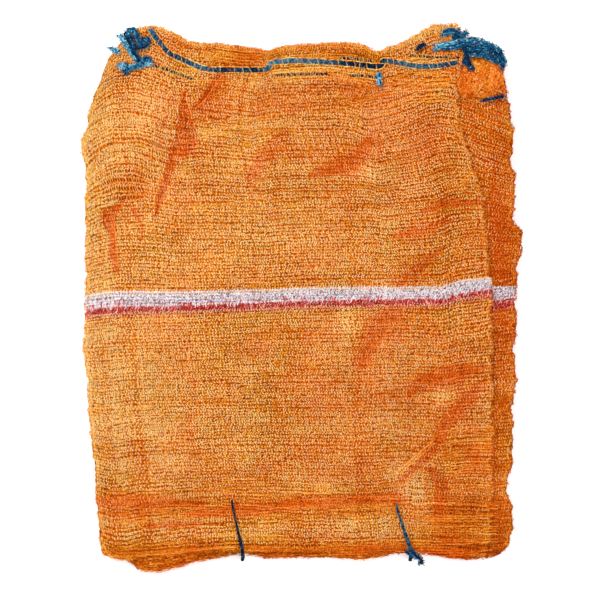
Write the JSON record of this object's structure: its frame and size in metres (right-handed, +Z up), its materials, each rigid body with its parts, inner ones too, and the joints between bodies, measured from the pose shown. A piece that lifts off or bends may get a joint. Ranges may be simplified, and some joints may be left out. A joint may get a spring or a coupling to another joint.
{
  "type": "bundle of raschel mesh sacks",
  "caption": "Flat bundle of empty orange raschel mesh sacks with a striped band and blue drawstrings, tied at the bottom edge.",
  "frame": {"origin": "middle of the bundle's outline in plan, on the floor that it lies on", "axes": "+X across the bundle, +Y along it towards the sacks' mouths, +Z up through its thickness"},
  "size_m": [0.5138, 0.6398, 0.0283],
  "materials": {
    "mesh_orange": "satin",
    "stripe_white": "satin",
    "stripe_red": "satin",
    "cord_blue": "satin",
    "tie_navy": "satin"
  },
  "bodies": {
    "root": {"sack_1": "mesh_orange", "sack_2": "mesh_orange", "sack_3": "mesh_orange", "sack_4": "mesh_orange", "sack_5": "mesh_orange", "sack_6": "mesh_orange", "hem_cord": "cord_blue", "cord_left_knob": "cord_blue", "cord_left_strand": "cord_blue", "cord_left_loop": "cord_blue", "cord_left_low": "cord_blue", "cord_right_short": "cord_blue", "cord_right_upper": "cord_blue", "cord_right_slash": "cord_blue", "cord_right_bend": "cord_blue", "cord_right_lower": "cord_blue", "cord_right_tail": "cord_blue", "cord_right_shoulder": "cord_blue", "cord_middle": "cord_blue", "tie_left": "tie_navy", "tie_right": "tie_navy", "tie_right_tail": "tie_navy"}
  },
  "joints": []
}
